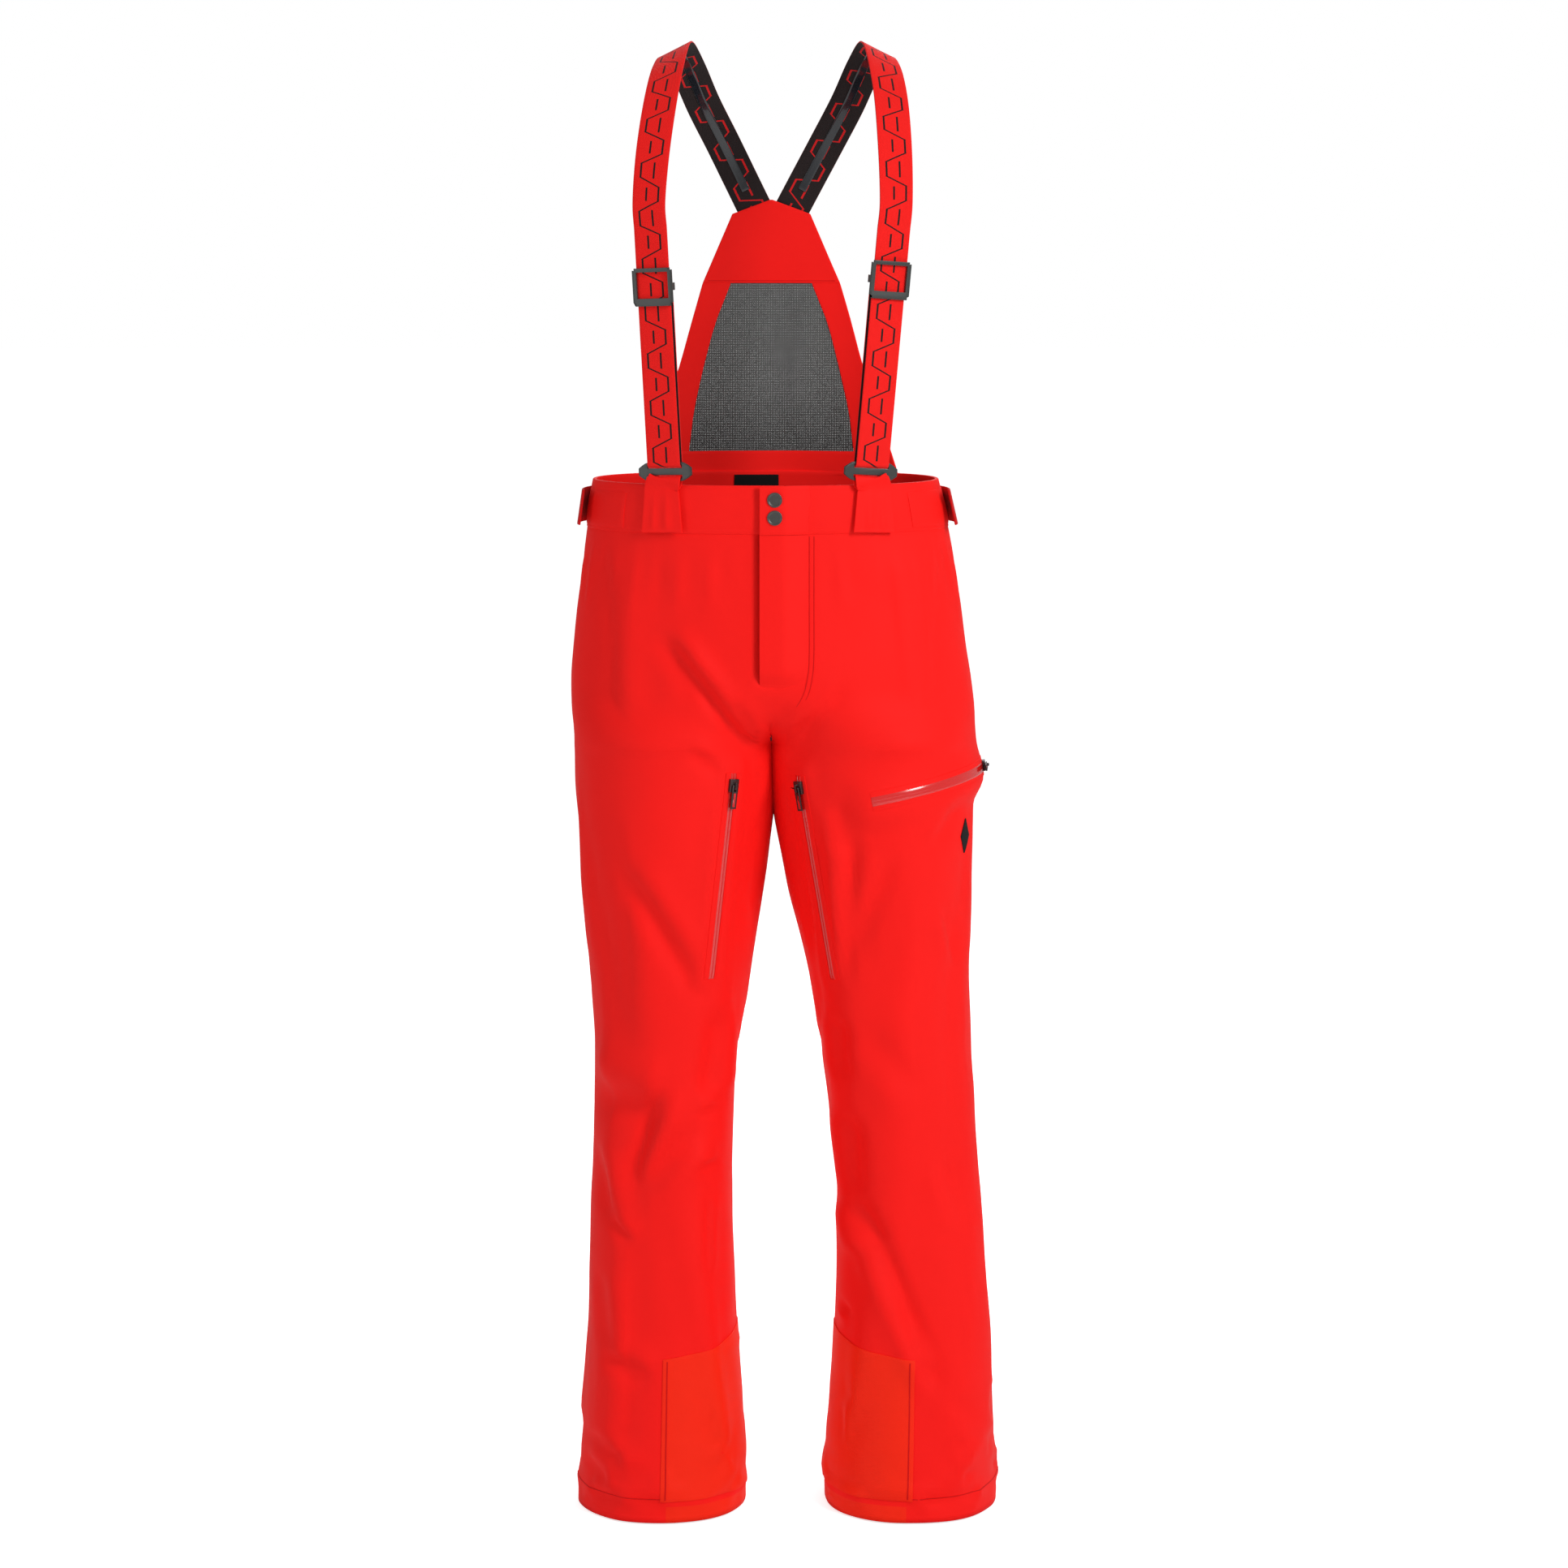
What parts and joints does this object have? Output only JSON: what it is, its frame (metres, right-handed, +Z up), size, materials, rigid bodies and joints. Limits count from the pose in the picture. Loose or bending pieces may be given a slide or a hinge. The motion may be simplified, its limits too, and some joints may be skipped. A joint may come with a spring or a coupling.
{
  "type": "ski pants",
  "caption": "Insulated ski pants with clip-on shoulder straps, a netted back panel, thigh vents, a thigh pocket, snap-and-zip fly and boot gaiters.",
  "frame": {"origin": "middle of the waist opening at the top edge of the waistband", "axes": "+Z up along the wearer, -Y to the front (the fly side), +X to the wearer's left"},
  "size_m": [0.471, 0.2717, 1.6087],
  "materials": {
    "red_shell": "matte woven shell with a quilted lining",
    "dark_red_tab": "woven hook-and-loop tab",
    "red_webbing": "stretch webbing with a plain line pattern, black on its inner face",
    "scuff_fabric": "tough coated fabric",
    "grey_net": "open knitted net",
    "black_fabric": "woven label or hook-and-loop tape",
    "lining": "thin woven lining",
    "grip_silicone": "smooth silicone",
    "elastic": "ribbed elastic",
    "dark_plastic": "moulded, slightly glossy",
    "snap_metal": "dark coated press stud",
    "zip_tape": "coated water-resistant tape",
    "zip_slider": "red coated die casting",
    "pull_tab": "moulded pull tab"
  },
  "bodies": {
    "garment": {"right_front_leg_panel": "red_shell", "right_back_leg_panel": "red_shell", "right_hem_band": "red_shell", "right_front_waistband": "red_shell", "right_hook_loop": "red_shell", "right_back_border": "red_shell", "right_scuff_guard": "scuff_fabric", "right_snow_gaiter": "lining", "right_gaiter_elastic": "elastic", "right_vent_zip_tape": "zip_tape", "right_vent_net": "grey_net", "right_waist_adjuster_patch": "black_fabric", "right_strap_hook": "dark_plastic", "right_shoulder_strap": "red_webbing", "right_strap_grip": "grip_silicone", "left_front_leg_panel": "red_shell", "left_back_leg_panel": "red_shell", "left_hem_band": "red_shell", "left_front_waistband": "red_shell", "left_hook_loop": "red_shell", "left_back_border": "red_shell", "left_scuff_guard": "scuff_fabric", "left_snow_gaiter": "lining", "left_gaiter_elastic": "elastic", "left_vent_zip_tape": "zip_tape", "left_vent_net": "grey_net", "left_waist_adjuster_patch": "black_fabric", "left_strap_hook": "dark_plastic", "left_shoulder_strap": "red_webbing", "left_strap_grip": "grip_silicone", "back_waistband": "red_shell", "back_yoke": "red_shell", "back_lower_border": "red_shell", "back_net": "grey_net", "waist_label": "black_fabric", "fly_underlap": "lining", "fly_zip_tape": "zip_tape", "upper_snap_stud": "snap_metal", "lower_snap_stud": "snap_metal", "thigh_pocket_zip_tape": "zip_tape", "thigh_pocket_bag": "lining", "thigh_patch": "black_fabric"},
    "front_overlap": {"waist_snap_tab": "red_shell", "fly_flap": "red_shell", "upper_snap_cap": "snap_metal", "lower_snap_cap": "snap_metal"},
    "fly_slider": {"fly_zip_slider": "zip_slider"},
    "fly_pull": {"fly_zip_pull": "pull_tab"},
    "right_vent_slider": {"right_vent_zip_slider": "zip_slider"},
    "right_vent_pull": {"right_vent_zip_pull": "pull_tab"},
    "left_vent_slider": {"left_vent_zip_slider": "zip_slider"},
    "left_vent_pull": {"left_vent_zip_pull": "pull_tab"},
    "pocket_slider": {"thigh_pocket_zip_slider": "zip_slider"},
    "pocket_pull": {"thigh_pocket_zip_pull": "pull_tab"},
    "right_adjuster_tab": {"right_waist_adjuster_tab": "dark_red_tab"},
    "left_adjuster_tab": {"left_waist_adjuster_tab": "dark_red_tab"},
    "right_strap_slider": {"right_strap_adjuster": "dark_plastic"},
    "left_strap_slider": {"left_strap_adjuster": "dark_plastic"}
  },
  "joints": [
    {"name": "front_overlap_opening", "type": "hinge", "parent": "garment", "child": "front_overlap", "pos_m": [0.04215, -0.11679, 0], "axis": [0.0004, 0.0542, 0.9985], "range_deg": [0, 90]},
    {"name": "fly_slider_travel", "type": "slide", "parent": "garment", "child": "fly_slider", "axis": [0, -0.05, -0.9987], "range_m": [0, 0.13]},
    {"name": "fly_pull_swing", "type": "hinge", "parent": "fly_slider", "child": "fly_pull", "pos_m": [0, -0.1228, -0.06503], "axis": [-1, 0, 0], "range_deg": [0, 4]},
    {"name": "right_vent_slider_travel", "type": "slide", "parent": "garment", "child": "right_vent_slider", "axis": [-0.1104, 0.0278, -0.9935], "range_m": [0, 0.198]},
    {"name": "right_vent_pull_swing", "type": "hinge", "parent": "right_vent_slider", "child": "right_vent_pull", "pos_m": [-0.03814, -0.10501, -0.32356], "axis": [-0.8079, -0.5847, 0.0734], "range_deg": [0, 150]},
    {"name": "left_vent_slider_travel", "type": "slide", "parent": "garment", "child": "left_vent_slider", "axis": [0.1671, 0.0373, -0.9852], "range_m": [0, 0.198]},
    {"name": "left_vent_pull_swing", "type": "hinge", "parent": "left_vent_slider", "child": "left_vent_pull", "pos_m": [0.02739, -0.09162, -0.32799], "axis": [-0.6709, 0.7365, -0.0859], "range_deg": [0, 150]},
    {"name": "pocket_slider_travel", "type": "hinge", "parent": "garment", "child": "pocket_slider", "pos_m": [0.10796, 0, -0.338], "axis": [0.1908, 0, -0.9816], "range_deg": [0, 68]},
    {"name": "pocket_pull_swing", "type": "hinge", "parent": "pocket_slider", "child": "pocket_pull", "pos_m": [0.23585, -0.00911, -0.31314], "axis": [-0.1908, 0, 0.9816], "range_deg": [0, 150]},
    {"name": "right_adjuster_tab_peel", "type": "hinge", "parent": "garment", "child": "right_adjuster_tab", "pos_m": [-0.18974, 0.03049, -0.01], "axis": [-0.1227, 0.0243, -0.9921], "range_deg": [-6, 60]},
    {"name": "left_adjuster_tab_peel", "type": "hinge", "parent": "garment", "child": "left_adjuster_tab", "pos_m": [0.17896, 0.03047, -0.01], "axis": [-0.2073, -0.0237, 0.978], "range_deg": [-6, 60]},
    {"name": "right_strap_adjuster_travel", "type": "slide", "parent": "garment", "child": "right_strap_slider", "axis": [-0.0521, -0.014, 0.9985], "range_m": [-0.05, 0.035]},
    {"name": "left_strap_adjuster_travel", "type": "slide", "parent": "garment", "child": "left_strap_slider", "axis": [0.0868, -0.0139, 0.9961], "range_m": [-0.05, 0.035]}
  ]
}
